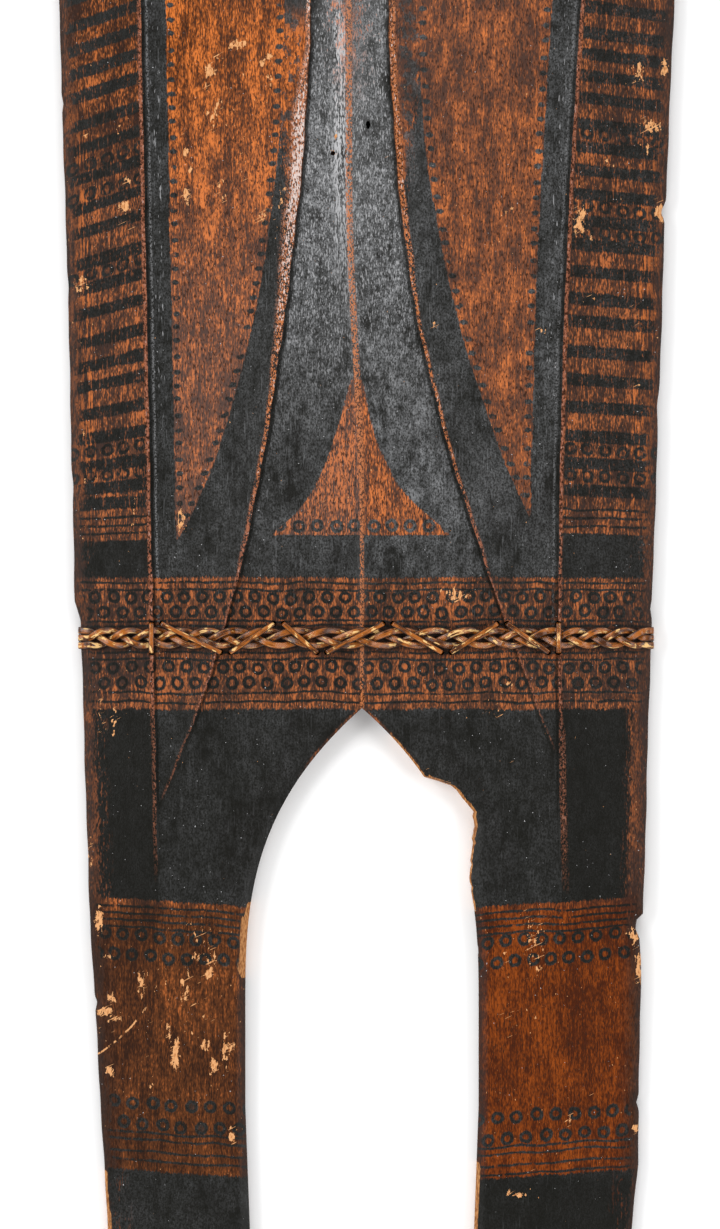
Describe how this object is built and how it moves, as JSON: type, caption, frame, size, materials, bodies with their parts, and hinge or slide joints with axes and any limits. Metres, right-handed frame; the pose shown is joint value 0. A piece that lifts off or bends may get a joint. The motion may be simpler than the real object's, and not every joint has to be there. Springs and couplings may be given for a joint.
{
  "type": "kalinga shield",
  "caption": "Long carved wooden shield with prongs above, legs below, a raised boss, a hand grip cut into the back and plaited cane lashings across it.",
  "frame": {"origin": "on the surface that the shield lies on, under the middle of its outline", "axes": "+Z out of the painted front, +Y along the plank towards the three prongs, +X to the right as the front is seen"},
  "size_m": [0.311, 1.245, 0.0491],
  "materials": {
    "painted_wood": "satin",
    "cane": "satin"
  },
  "bodies": {
    "root": {"plank": "painted_wood", "lower_plait_strand_1": "cane", "lower_plait_strand_2": "cane", "lower_plait_strand_3": "cane", "lower_sewing_cane": "cane", "upper_plait_strand_1": "cane", "upper_plait_strand_2": "cane", "upper_plait_strand_3": "cane", "upper_sewing_cane": "cane"}
  },
  "joints": []
}
